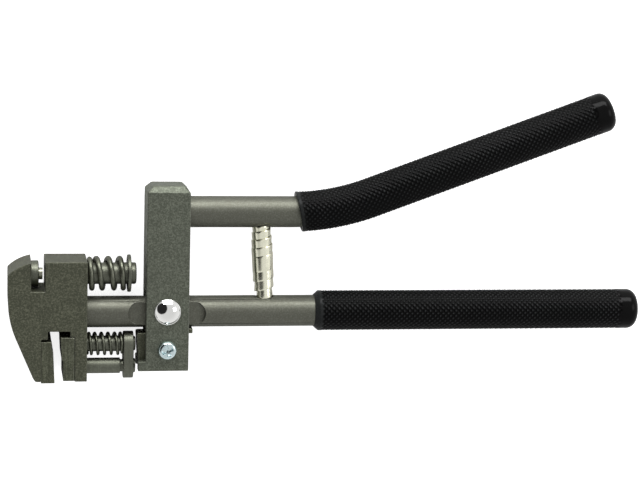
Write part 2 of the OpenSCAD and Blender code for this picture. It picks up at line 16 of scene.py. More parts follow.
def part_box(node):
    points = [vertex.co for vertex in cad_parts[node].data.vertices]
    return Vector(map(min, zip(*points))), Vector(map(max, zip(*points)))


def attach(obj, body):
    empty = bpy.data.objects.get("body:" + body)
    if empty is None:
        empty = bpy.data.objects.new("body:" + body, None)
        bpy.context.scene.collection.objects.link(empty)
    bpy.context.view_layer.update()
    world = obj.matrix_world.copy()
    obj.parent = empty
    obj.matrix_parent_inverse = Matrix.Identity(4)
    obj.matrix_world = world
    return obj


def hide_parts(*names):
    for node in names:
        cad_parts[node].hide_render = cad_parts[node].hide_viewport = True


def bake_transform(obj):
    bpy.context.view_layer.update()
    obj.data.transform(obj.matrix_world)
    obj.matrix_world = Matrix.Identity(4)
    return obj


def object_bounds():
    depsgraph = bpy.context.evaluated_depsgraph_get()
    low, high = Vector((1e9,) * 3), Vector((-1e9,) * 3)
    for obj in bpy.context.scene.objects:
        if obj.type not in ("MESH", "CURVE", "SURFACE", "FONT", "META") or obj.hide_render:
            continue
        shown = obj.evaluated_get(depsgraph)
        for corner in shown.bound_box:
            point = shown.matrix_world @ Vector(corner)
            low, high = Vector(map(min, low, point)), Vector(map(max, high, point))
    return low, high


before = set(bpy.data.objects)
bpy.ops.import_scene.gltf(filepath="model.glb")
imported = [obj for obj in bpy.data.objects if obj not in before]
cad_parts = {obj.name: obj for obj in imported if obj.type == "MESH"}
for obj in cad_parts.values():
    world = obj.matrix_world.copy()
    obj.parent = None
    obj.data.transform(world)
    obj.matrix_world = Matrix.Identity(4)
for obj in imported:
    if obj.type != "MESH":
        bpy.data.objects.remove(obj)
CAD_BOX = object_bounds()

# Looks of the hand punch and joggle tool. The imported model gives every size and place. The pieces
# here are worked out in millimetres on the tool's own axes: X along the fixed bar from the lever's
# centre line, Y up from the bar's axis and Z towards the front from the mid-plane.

log = logging.getLogger("punch_and_joggle_tool")

TURN = 2.0 * math.pi
# From the lever block's left edge, its toe, to its centre line, in metres
TOE_TO_CENTRE = 0.0147
# In a copied CAD mesh, points this near are merged and edges this short dropped, in metres
MERGE_WITHIN = 4e-6
DROP_BELOW = 2e-6

Triple = tuple[float, float, float]
Array = np.ndarray


@dataclass(frozen=True)
class Datum:
    """The tool's own origin in the row frame, in metres."""

    x: float
    y: float
    z: float

    @classmethod
    def from_frame(cls) -> "Datum":
        """Finds the origin from the lever block's toe and the fixed bar's axis.

        Returns:
            The origin, in metres.
        """
        bar_low, bar_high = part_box("fixed_bar")
        lever_low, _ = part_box("lever_block")
        return cls(lever_low.x + TOE_TO_CENTRE, (bar_low.y + bar_high.y) / 2,
                   (bar_low.z + bar_high.z) / 2)

    def metres(self, points: Array) -> Array:
        """Moves points from the tool's axes in millimetres to the row frame in metres."""
        return np.asarray(points, float) * 1e-3 + np.array([self.x, self.y, self.z])

    def point(self, x: float, y: float, z: float = 0.0) -> Triple:
        """One point of the tool's axes, in millimetres, as a row-frame point in metres."""
        return tuple(float(c) for c in self.metres(np.array([x, y, z])))


DATUM = Datum.from_frame()


def stacked(*parts: ArrayLike) -> Array:
    """Stacks numbers or arrays, spread to one shape, along a new last axis."""
    return np.stack(np.broadcast_arrays(*parts), axis=-1)


class Ends(Enum):
    """How the first and the last ring of a carried profile are closed."""

    CAPPED = "capped"
    JOINED = "joined"


@dataclass
class Shell:
    """A closed surface: points in millimetres, faces, and values kept at its points."""

    points: Array
    quads: Array
    triangles: Array
    values: dict[str, Array] = field(default_factory=dict)

    def facing_out(self) -> "Shell":
        """Turns the faces over if they enclose a negative volume.

        Returns:
            The same shell, with its faces pointing outwards.
        """
        p, q = self.points, self.quads
        halves = np.concatenate([q[:, [0, 1, 2]], q[:, [0, 2, 3]], self.triangles])
        a, b, c = p[halves[:, 0]], p[halves[:, 1]], p[halves[:, 2]]
        if np.einsum("ij,ij->i", a, np.cross(b, c)).sum() < 0:
            self.quads = q[:, ::-1]
            self.triangles = self.triangles[:, ::-1]
        return self


def carried(rings: Array, ends: Ends = Ends.CAPPED,
            values: Mapping[str, Array] | None = None) -> Shell:
    """Skins a profile carried along a path.

    Point (i, j) is joined to its neighbours (i, j+1) round the profile and (i+1, j) along the path.
    A capped end is a fan of triangles about the middle of its ring.

    Args:
        rings: Points as an array of path steps by profile steps by 3, in millimetres.
        ends: How the two ends are closed.
        values: Arrays of path steps by profile steps, kept at the points.

    Returns:
        The closed shell, facing outwards.
    """
    count, around, _ = rings.shape
    rows = np.arange(count if ends is Ends.JOINED else count - 1)[:, None]
    cols = np.arange(around)[None, :]
    nxt = (cols + 1) % around
    below = (rows + 1) % count
    quads = stacked(rows * around + cols, rows * around + nxt,
                    below * around + nxt, below * around + cols).reshape(-1, 4)
    points = rings.reshape(-1, 3)
    kept = {k: v.reshape(-1) for k, v in (values or {}).items()}
    triangles = np.zeros((0, 3), int)
    if ends is Ends.CAPPED:
        first, last = len(points), len(points) + 1
        points = np.concatenate([points, rings[[0, -1]].mean(axis=1)])
        j, k = cols[0], nxt[0]
        base = (count - 1) * around
        triangles = np.concatenate([stacked(first, k, j), stacked(last, base + j, base + k)])
        kept = {name: np.concatenate([v, [v[:around].mean(), v[-around:].mean()]])
                for name, v in kept.items()}
    return Shell(points, quads, triangles, kept).facing_out()


def softened(corners: ArrayLike, radius: ArrayLike, steps: int = 4, closed: bool = False) -> Array:
    """Rounds the corners of a profile.

    Each corner becomes the parabola (1-t)^2 a + 2t(1-t) c + t^2 b, which leaves the profile at a,
    a radius before the corner c, and meets it again at b, a radius after it.

    Args:
        corners: The profile's corners, N by 2, in millimetres.
        radius: How far from each corner the rounding starts, one number or N.
        steps: Straight steps in each rounding.
        closed: Whether the profile is a loop. An open one keeps its two end points.

    Returns:
        The rounded profile, M by 2.
    """
    c = np.asarray(corners, float)
    r = np.broadcast_to(np.asarray(radius, float), (len(c),)).copy()
    before, after = np.roll(c, 1, axis=0), np.roll(c, -1, axis=0)
    to_a, to_b = before - c, after - c
    la = np.maximum(np.linalg.norm(to_a, axis=1), 1e-9)
    lb = np.maximum(np.linalg.norm(to_b, axis=1), 1e-9)
    reach = np.minimum(r, 0.45 * np.minimum(la, lb))[:, None]
    a = c + to_a / la[:, None] * reach
    b = c + to_b / lb[:, None] * reach
    t = np.linspace(0, 1, steps + 1)[None, :, None]
    bends = (1 - t) ** 2 * a[:, None] + 2 * t * (1 - t) * c[:, None] + t**2 * b[:, None]
    if closed:
        return bends.reshape(-1, 2)
    return np.concatenate([c[:1], bends[1:-1].reshape(-1, 2), c[-1:]])


class Axis(Enum):
    """The direction that a turned piece's axis points in, with its two radial directions."""

    ALONG_X = ((1, 0, 0), (0, 1, 0), (0, 0, 1))
    ALONG_Z = ((0, 0, 1), (1, 0, 0), (0, 1, 0))


def turned(profile: Array, centre: Triple, axis: Axis, sides: int = 96, ring: bool = False) -> Shell:
    """Turns a profile about an axis: point (s, r) sweeps centre + s A + r (cos u B + sin u C).

    Args:
        profile: Rows of (place along the axis, radius), in millimetres.
        centre: A point on the axis, in millimetres.
        axis: The direction of the axis.
        sides: Steps round the turn.
        ring: True for a loop profile clear of the axis, False for one that starts and ends on it.

    Returns:
        The turned shell.
    """
    a, b, c = (np.array(v, float) for v in axis.value)
    u = np.linspace(0, TURN, sides, endpoint=False)
    radial = np.cos(u)[:, None] * b + np.sin(u)[:, None] * c
    rows = profile if ring else profile[1:-1]
    rings = np.array(centre, float) + rows[:, :1, None] * a + rows[:, 1:, None] * radial
    shell = carried(rings, Ends.JOINED if ring else Ends.CAPPED)
    if not ring:
        shell.points[-2] = np.array(centre) + profile[0, 0] * a
        shell.points[-1] = np.array(centre) + profile[-1, 0] * a
    return shell.facing_out()


def placed(name: str, data: ID) -> Object:
    """Makes an object of some data and links it to the scene."""
    obj = bpy.data.objects.new(name, data)
    bpy.context.scene.collection.objects.link(obj)
    return obj


def piece_from(name: str, shell: Shell, sharp: float = 38.0) -> Object:
    """Makes an object of a shell, in the row frame.

    Args:
        name: The piece's name.
        shell: Its surface, in millimetres on the tool's axes.
        sharp: The angle past which an edge is shaded sharp, in degrees.

    Returns:
        The object, at the origin, with its place in its mesh.
    """
    mesh = bpy.data.meshes.new(name)
    co = DATUM.metres(shell.points).astype(np.float32)
    corners = np.concatenate([shell.quads.ravel(), shell.triangles.ravel()]).astype(np.int32)
    sizes = np.concatenate([np.full(len(shell.quads), 4), np.full(len(shell.triangles), 3)])
    starts = np.concatenate([[0], np.cumsum(sizes)[:-1]]).astype(np.int32)
    mesh.vertices.add(len(co))
    mesh.vertices.foreach_set("co", co.ravel())
    mesh.loops.add(len(corners))
    mesh.loops.foreach_set("vertex_index", corners)
    mesh.polygons.add(len(sizes))
    mesh.polygons.foreach_set("loop_start", starts)
    mesh.update(calc_edges=True)
    mesh.validate()
    for key, numbers in shell.values.items():
        attribute = mesh.attributes.new(key, "FLOAT", "POINT")
        attribute.data.foreach_set("value", numbers.astype(np.float32))
    mesh.shade_smooth()
    mesh.set_sharp_from_angle(angle=math.radians(sharp))
    return placed(name, mesh)


class Bench:
    """Adds nodes to one tree and joins their sockets."""

    def __init__(self, tree: NodeTree) -> None:
        """Works on a node tree."""
        self.tree = tree

    def fill(self, node: Node, inputs: Mapping[str | int, object]) -> Node:
        """Gives a node's inputs their values, or links other sockets to them."""
        for key, value in inputs.items():
            if isinstance(value, NodeSocket):
                self.tree.links.new(value, node.inputs[key])
            else:
                node.inputs[key].default_value = value
        return node

    def add(self, kind: str, inputs: Mapping[str | int, object] | None = None,
            **settings: object) -> Node:
        """Adds a node.

        Args:
            kind: The node's type name.
            inputs: Values or sockets for its inputs, by name or index.
            settings: Values for the node's own properties.

        Returns:
            The node.
        """
        node = self.tree.nodes.new(kind)
        for key, value in settings.items():
            setattr(node, key, value)
        return self.fill(node, inputs or {})

    def sum(self, operation: str, a: object, b: object, clamp: bool = False) -> NodeSocket:
        """The result of a Math node on two values or sockets."""
        return self.add("ShaderNodeMath", {0: a, 1: b}, operation=operation, use_clamp=clamp).outputs[0]

    plus = partialmethod(sum, "ADD")
    minus = partialmethod(sum, "SUBTRACT")
    times = partialmethod(sum, "MULTIPLY")

    def ramp(self, value: object, low: float, high: float, to_low: float = 0.0,
             to_high: float = 1.0) -> NodeSocket:
        """A value carried from one range to another, clamped, with a smooth start and end."""
        return self.add("ShaderNodeMapRange", {0: value, 1: low, 2: high, 3: to_low, 4: to_high},
                        interpolation_type="SMOOTHSTEP").outputs[0]

    def blend(self, share: object, a: NodeSocket | Triple, b: NodeSocket | Triple) -> NodeSocket:
        """A colour between two, by a share."""
        a, b = (c if isinstance(c, NodeSocket) else (*c, 1.0) for c in (a, b))
        return self.add("ShaderNodeMix", {0: share, 6: a, 7: b}, data_type="RGBA").outputs[2]

    def noise(self, vector: object, scale: object, detail: float, rough: float = 0.55) -> NodeSocket:
        """The value of a noise texture."""
        inputs = {"Vector": vector, "Scale": scale, "Detail": detail, "Roughness": rough}
        return self.add("ShaderNodeTexNoise", inputs).outputs[0]


def material_start(name: str) -> tuple[Material, Bench, Node, NodeSocket]:
    """Starts a material.

    Args:
        name: The material's name.

    Returns:
        The material, its bench, its shader and the Object coordinates.
    """
    material = bpy.data.materials.new(name)
    material.use_nodes = True
    b = Bench(material.node_tree)
    place = b.add("ShaderNodeTexCoord").outputs["Object"]
    return material, b, material.node_tree.nodes["Principled BSDF"], place


def group_tree(name: str, takes: dict[str, float | Triple], gives: Iterable[str]) -> tuple:
    """Starts a shader node group with a Vector input and other named sockets.

    Args:
        name: The group's name.
        takes: Default of each further input, by name: a number, or three for a vector.
        gives: Name of each output, a number.

    Returns:
        The tree, its bench, the values it takes, by name, and its output node.
    """
    tree = bpy.data.node_groups.new(name, "ShaderNodeTree")
    tree.interface.new_socket(name="Vector", in_out="INPUT", socket_type="NodeSocketVector")
    for label, default in takes.items():
        kind = "NodeSocketVector" if isinstance(default, tuple) else "NodeSocketFloat"
        tree.interface.new_socket(name=label, in_out="INPUT", socket_type=kind).default_value = default
    for label in gives:
        tree.interface.new_socket(name=label, in_out="OUTPUT", socket_type="NodeSocketFloat")
    bench = Bench(tree)
    return tree, bench, bench.add("NodeGroupInput").outputs, bench.add("NodeGroupOutput")


class Effects:
    """The shader groups that the finishes share, each built once."""

    def __init__(self) -> None:
        """Starts with no group built."""
        self.built: dict[str, NodeTree] = {}

    def place(self, bench: Bench, name: str, inputs: dict[str, object]) -> Mapping[str, NodeSocket]:
        """Places a group in a material, with its own values, and builds it on its first use.

        Args:
            bench: The material's bench.
            name: The group's name, which is also its method's.
            inputs: Values or sockets for its inputs.

        Returns:
            The group's outputs.
        """
        if name not in self.built:
            self.built[name] = getattr(self, name)()
        return bench.add("ShaderNodeGroup", inputs, node_tree=self.built[name]).outputs

    def rubbed_edges(self) -> NodeTree:
        """Mask of the edges, where a finish rubs thin: how far the faces within reach turn away from
        the face here, broken up by noise.

        Returns:
            A group with Vector, Amount, Break Up and Reach inputs and a Mask output.
        """
        tree, b, take, give = group_tree(
            "rubbed_edges", {"Amount": 0.5, "Break Up": 260.0, "Reach": 5e-4}, ["Mask"])
        own = b.add("ShaderNodeNewGeometry").outputs["Normal"]
        near = b.add("ShaderNodeBevel", {"Radius": take["Reach"]}, samples=6).outputs[0]
        chips = b.noise(take["Vector"], take["Break Up"], 4.0, 0.7)
        along = b.add("ShaderNodeVectorMath", {0: own, 1: near}, operation="DOT_PRODUCT")
        edge = b.ramp(along.outputs["Value"], 0.995, 0.90)
        broken = b.times(edge, b.ramp(chips, 0.32, 0.6, 0.25, 1.0))
        b.fill(give, {"Mask": b.times(broken, take["Amount"], True)})
        return tree

    def tool_marks(self) -> NodeTree:
        """Fine lines left by milling, turning or drawing: noise stretched along one direction.

        Returns:
            A group with Vector, Stretch and Fineness inputs and Height and Shade outputs.
        """
        tree, b, take, give = group_tree(
            "tool_marks", {"Stretch": (1.0, 1.0, 1.0), "Fineness": 900.0}, ["Height", "Shade"])
        pulled = b.add("ShaderNodeVectorMath", {0: take["Vector"], 1: take["Stretch"]},
                       operation="MULTIPLY").outputs[0]
        fine = b.noise(pulled, take["Fineness"], 2.0, 0.5)
        broad = b.noise(pulled, b.times(take["Fineness"], 0.23), 2.0, 0.5)
        both = b.plus(b.times(fine, 0.75), b.times(broad, 0.25))
        b.fill(give, {"Height": both, "Shade": b.ramp(both, 0.3, 0.7)})
        return tree

    def blotches(self) -> NodeTree:
        """Cloudy tone of a chemical finish, with a fine crystal speckle and rare small pits.

        Returns:
            A group with Vector and Size inputs and Tone, Speckle and Pits outputs.
        """
        tree, b, take, give = group_tree("blotches", {"Size": 90.0}, ["Tone", "Speckle", "Pits"])
        cloud = b.noise(take["Vector"], take["Size"], 5.0, 0.6)
        crystal = b.noise(take["Vector"], 1300.0, 2.0, 0.7)
        cells = b.add("ShaderNodeTexVoronoi", {"Vector": take["Vector"], "Scale": 420.0})
        pits = b.ramp(cells.outputs["Distance"], 0.02, 0.13, 1.0, 0.0)
        speckle = b.ramp(crystal, 0.35, 0.65)
        b.fill(give, {"Tone": b.ramp(cloud, 0.32, 0.68), "Speckle": speckle, "Pits": pits})
        return tree

    def hand_dust(self) -> NodeTree:
        """Pale dust and lint that stays in a moulded pattern, thicker where the noise is high.

        Returns:
            A group with Vector, Relief and Amount inputs and Mask and Scuff outputs.
        """
        tree, b, take, give = group_tree("hand_dust", {"Relief": 1.0, "Amount": 0.3}, ["Mask", "Scuff"])
        drift = b.noise(take["Vector"], 60.0, 4.0, 0.6)
        specks = b.noise(take["Vector"], 1500.0, 2.0, 0.6)
        groove = b.minus(1.0, take["Relief"], True)
        lint = b.times(b.ramp(specks, 0.58, 0.75), b.ramp(drift, 0.4, 0.7))
        mask = b.plus(b.times(groove, b.ramp(drift, 0.3, 0.7)), lint)
        scuff = b.times(take["Relief"], b.ramp(specks, 0.35, 0.7))
        b.fill(give, {"Mask": b.times(mask, take["Amount"], True), "Scuff": scuff})
        return tree


EFFECTS = Effects()


class Lay(Enum):
    """The way that a surface's tool marks run, as how each axis is stretched."""

    ALONG_X = (0.04, 1.0, 1.0)
    ALONG_Y = (1.0, 0.05, 1.0)
    AROUND_X = (1.0, 0.05, 0.05)
    BLASTED = (1.0, 1.0, 1.0)


@dataclass(frozen=True)
class SteelFinish:
    """A steel surface: its colour, how rough it is, its marks and its wear."""

    name: str
    slot: str
    base: Triple
    pale: Triple
    bare: Triple = (0.62, 0.61, 0.58)
    metallic: float = 1.0
    rough: float = 0.4
    rough_swing: float = 0.12
    lay: Lay = Lay.BLASTED
    fineness: float = 900.0
    mark_depth: float = 0.25
    tone_size: float = 90.0
    tone: float = 0.5
    speckle: float = 0.2
    pits: float = 0.0
    edge: float = 0.5
    coat: float = 0.0

    def dress(self) -> Material:
        """Builds the material.

        Returns:
            The material, with its patterns on Object coordinates.
        """
        material, b, shader, place = material_start(self.name)
        marks = EFFECTS.place(
            b, "tool_marks", {"Vector": place, "Stretch": self.lay.value, "Fineness": self.fineness})
        cloud = EFFECTS.place(b, "blotches", {"Vector": place, "Size": self.tone_size})
        rubbed = EFFECTS.place(b, "rubbed_edges", {"Vector": place, "Amount": self.edge})["Mask"]
        tone = b.plus(b.times(cloud["Tone"], self.tone), 0.25 - self.tone / 2)
        grain = b.times(b.minus(marks["Shade"], 0.5), self.speckle)
        crystal = b.times(b.minus(cloud["Speckle"], 0.5), self.speckle)
        colour = b.blend(b.plus(b.plus(tone, grain), crystal, True), self.base, self.pale)
        pit = b.times(cloud["Pits"], self.pits, True)
        colour = b.blend(pit, colour, tuple(0.35 * c for c in self.base))
        swing = b.times(b.minus(cloud["Tone"], 0.5), self.rough_swing)
        height = b.plus(marks["Height"], b.times(cloud["Speckle"], 0.5))
        height = b.minus(height, b.times(pit, 2.0))
        bump = b.add(
            "ShaderNodeBump", {"Height": height, "Distance": 2.5e-5, "Strength": self.mark_depth})
        b.fill(shader, {
            "Base Color": b.blend(rubbed, colour, self.bare),
            "Roughness": b.minus(b.plus(swing, self.rough), b.times(rubbed, 0.12), True),
            "Metallic": self.metallic, "Coat Weight": self.coat, "Normal": bump.outputs[0],
        })
        return material


@dataclass(frozen=True)
class GripFinish:
    """Black moulded vinyl: dull in the pattern, glossier on the worn tops and at the smooth end. The
    diamond tops are painted lighter, partly as wear and partly as a painted highlight for their glints,
    and the grooves near black as painted shade.
    """

    name: str = "black_vinyl_grip"
    slot: str = "grip_plastic"
    # Colour in the grooves: the vinyl's own black, darkened further as painted shade
    base: Triple = (0.0004, 0.0005, 0.0005)
    # Colour of the diamond tops: wear, with a painted highlight standing in for their glints
    top: Triple = (0.0270, 0.0290, 0.0290)
    dust: Triple = (0.05, 0.053, 0.052)
    rough: float = 0.42
    rough_top: float = 0.24
    rough_end: float = 0.16
    end: Triple = (0.003, 0.003, 0.003)
    specular: float = 0.07
    dust_amount: float = 0.012

    def dress(self) -> Material:
        """Builds the material from the piece's own relief and smooth_end values.

        Returns:
            The material.
        """
        material, b, shader, place = material_start(self.name)
        relief = b.add("ShaderNodeAttribute", attribute_name="relief").outputs["Fac"]
        smooth_end = b.add("ShaderNodeAttribute", attribute_name="smooth_end").outputs["Fac"]
        dust = EFFECTS.place(
            b, "hand_dust", {"Vector": place, "Relief": relief, "Amount": self.dust_amount})
        cloud = EFFECTS.place(b, "blotches", {"Vector": place, "Size": 45.0})
        # Tops painted lighter than the grooves: partly wear, partly a painted highlight; the grooves
        # keep the painted shade of the near-black base
        worn_and_highlit_tops = b.times(b.ramp(relief, 0.5, 1.0), b.ramp(cloud["Tone"], 0.0, 1.0, 0.5, 1.0))
        colour = b.blend(dust["Mask"], b.blend(worn_and_highlit_tops, self.base, self.top), self.dust)
        rough = b.ramp(relief, 0.0, 1.0, self.rough, self.rough_top)
        rough = b.plus(rough, b.times(dust["Scuff"], 0.1))
        to_end = b.times(b.minus(self.rough_end, rough), smooth_end)
        bump = b.add("ShaderNodeBump", {"Height": cloud["Speckle"], "Distance": 2e-5, "Strength": 0.25})
        b.fill(shader, {
            "Base Color": b.blend(smooth_end, colour, self.end), "Roughness": b.plus(rough, to_end),
            "Metallic": 0.0, "IOR": 1.5, "Specular IOR Level": self.specular, "Normal": bump.outputs[0],
        })
        return material


class Finish(Enum):
    """Every finish on the tool."""

    HEAD = SteelFinish(
        "phosphated_head_steel", "head_steel", (0.072, 0.076, 0.053), (0.158, 0.163, 0.117),
        metallic=0.85, rough=0.56, rough_swing=0.04, tone=0.12, speckle=0.75, mark_depth=0.8,
        pits=0.2, edge=0.4)
    LEVER = SteelFinish(
        "phosphated_lever_steel", "lever_steel", (0.098, 0.107, 0.083), (0.202, 0.218, 0.174),
        metallic=0.85, rough=0.54, rough_swing=0.04, tone=0.12, speckle=0.7, mark_depth=0.8,
        pits=0.2, edge=0.4)
    JAW = SteelFinish(
        "hardened_jaw_steel", "jaw_steel", (0.070, 0.074, 0.051), (0.148, 0.156, 0.110),
        metallic=0.85, rough=0.52, lay=Lay.ALONG_Y, fineness=1400.0, tone=0.2, speckle=0.9,
        mark_depth=0.7, pits=0.25, edge=0.4)
    BAR = SteelFinish(
        "satin_bar_steel", "bar_steel", (0.120, 0.122, 0.099), (0.165, 0.168, 0.139),
        metallic=0.9, rough=0.52, rough_swing=0.08, fineness=1500.0, tone=0.2, speckle=0.9,
        mark_depth=0.8, edge=0.2)
    ROD = SteelFinish(
        "ground_rod_steel", "rod_steel", (0.122, 0.128, 0.101), (0.176, 0.183, 0.145),
        metallic=0.9, rough=0.46, lay=Lay.AROUND_X, fineness=1800.0, tone=0.4, speckle=0.6,
        mark_depth=0.5, edge=0.3)
    SPRING = SteelFinish(
        "blued_spring_wire", "spring_steel", (0.105, 0.110, 0.084), (0.20, 0.207, 0.163),
        metallic=0.9, rough=0.40, rough_swing=0.16, tone=0.7, speckle=0.4, mark_depth=0.4, edge=0.0)
    VOLUTE = SteelFinish(
        "nickelled_volute_strip", "volute_nickel", (0.90, 0.89, 0.71), (0.97, 0.96, 0.80),
        rough=0.23, rough_swing=0.1, lay=Lay.AROUND_X, fineness=1500.0, tone=0.5, speckle=0.3,
        mark_depth=0.2, edge=0.1, bare=(0.8, 0.78, 0.72))
    CHROME = SteelFinish(
        "polished_pivot_chrome", "pivot_chrome", (0.86, 0.86, 0.84), (0.92, 0.92, 0.90),
        rough=0.07, rough_swing=0.04, tone=0.4, speckle=0.1, mark_depth=0.04, edge=0.0)
    ZINC = SteelFinish(
        "clear_zinc_screw", "screw_zinc", (0.62, 0.74, 0.76), (0.78, 0.90, 0.92),
        rough=0.20, tone=0.6, speckle=0.3, edge=0.2, coat=0.2, bare=(0.9, 0.94, 0.95))
    PUNCH = SteelFinish(
        "ground_punch_steel", "punch_steel", (0.30, 0.305, 0.245), (0.42, 0.425, 0.35),
        rough=0.32, lay=Lay.AROUND_X, fineness=1800.0, speckle=0.4, mark_depth=0.3)
    INNER = SteelFinish(
        "oiled_inner_steel", "inner_steel", (0.10, 0.10, 0.095), (0.17, 0.17, 0.16),
        rough=0.42, tone=0.6, speckle=0.4, mark_depth=0.3, edge=0.3)
    GRIP = GripFinish()

    def material(self) -> Material:
        """The finish's material, built when it is first asked for."""
        return bpy.data.materials.get(self.value.name) or self.value.dress()


def dressed(obj: Object, finish: Finish) -> None:
    """Gives an object its finish."""
    obj.data.materials.clear()
    obj.data.materials.append(finish.material())


def fitted(obj: Object, finish: Finish, body: str, *nodes: str) -> Object:
    """Finishes a piece and puts it on its body in place of CAD nodes.

    Args:
        obj: The piece.
        finish: Its finish.
        body: The CAD body that it rides on.
        nodes: The CAD nodes that it stands for.

    Returns:
        The same object.
    """
    dressed(obj, finish)
    if body:
        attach(obj, body)
    if nodes:
        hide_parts(*nodes)
    log.info("%s: %d faces, for %s", obj.name, len(obj.data.polygons), ", ".join(nodes))
    return obj


def machined(name: str, node: str, edge: float, finish: Finish, body: str, segments: int = 2) -> None:
    """Copies a CAD node, breaks its sharp edges as a machinist does and fits it in the node's place.

    Args:
        name: The new piece's name.
        node: The CAD node that it copies.
        edge: Width of the broken edges, in millimetres, or 0 to leave them.
        finish: Its finish.
        body: The CAD body that it rides on.
        segments: Steps across a broken edge.
    """
    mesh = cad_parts[node].data.copy()
    mesh.name = name
    if mesh.attributes.get("custom_normal"):
        mesh.attributes.remove(mesh.attributes["custom_normal"])
    bm = bmesh.new()
    bm.from_mesh(mesh)
    bmesh.ops.remove_doubles(bm, verts=bm.verts, dist=MERGE_WITHIN)
    bmesh.ops.dissolve_degenerate(bm, dist=DROP_BELOW, edges=bm.edges)
    bmesh.ops.dissolve_limit(bm, angle_limit=math.radians(0.5), use_dissolve_boundaries=False,
                             verts=bm.verts, edges=bm.edges)
    bmesh.ops.recalc_face_normals(bm, faces=bm.faces)
    bm.to_mesh(mesh)
    bm.free()
    mesh.shade_smooth()
    mesh.set_sharp_from_angle(angle=math.radians(30))
    obj = placed(name, mesh)
    if edge > 0:
        bevel = obj.modifiers.new("broken_edges", "BEVEL")
        bevel.width = edge * 1e-3
        bevel.segments = segments
        bevel.limit_method = "ANGLE"
        bevel.angle_limit = math.radians(40)
        bevel.use_clamp_overlap = False
    flat = obj.modifiers.new("flat_faces", "WEIGHTED_NORMAL")
    flat.mode = "FACE_AREA_WITH_ANGLE"
    flat.weight = 80
    flat.keep_sharp = True
    fitted(obj, finish, body, node)


def dressed_nodes(*nodes: str) -> None:
    """Gives the CAD nodes that stay shown the finish of the tool's inside."""
    for node in nodes:
        dressed(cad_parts[node], Finish.INNER)
        log.info("%s: CAD node, %s", node, Finish.INNER.value.name)


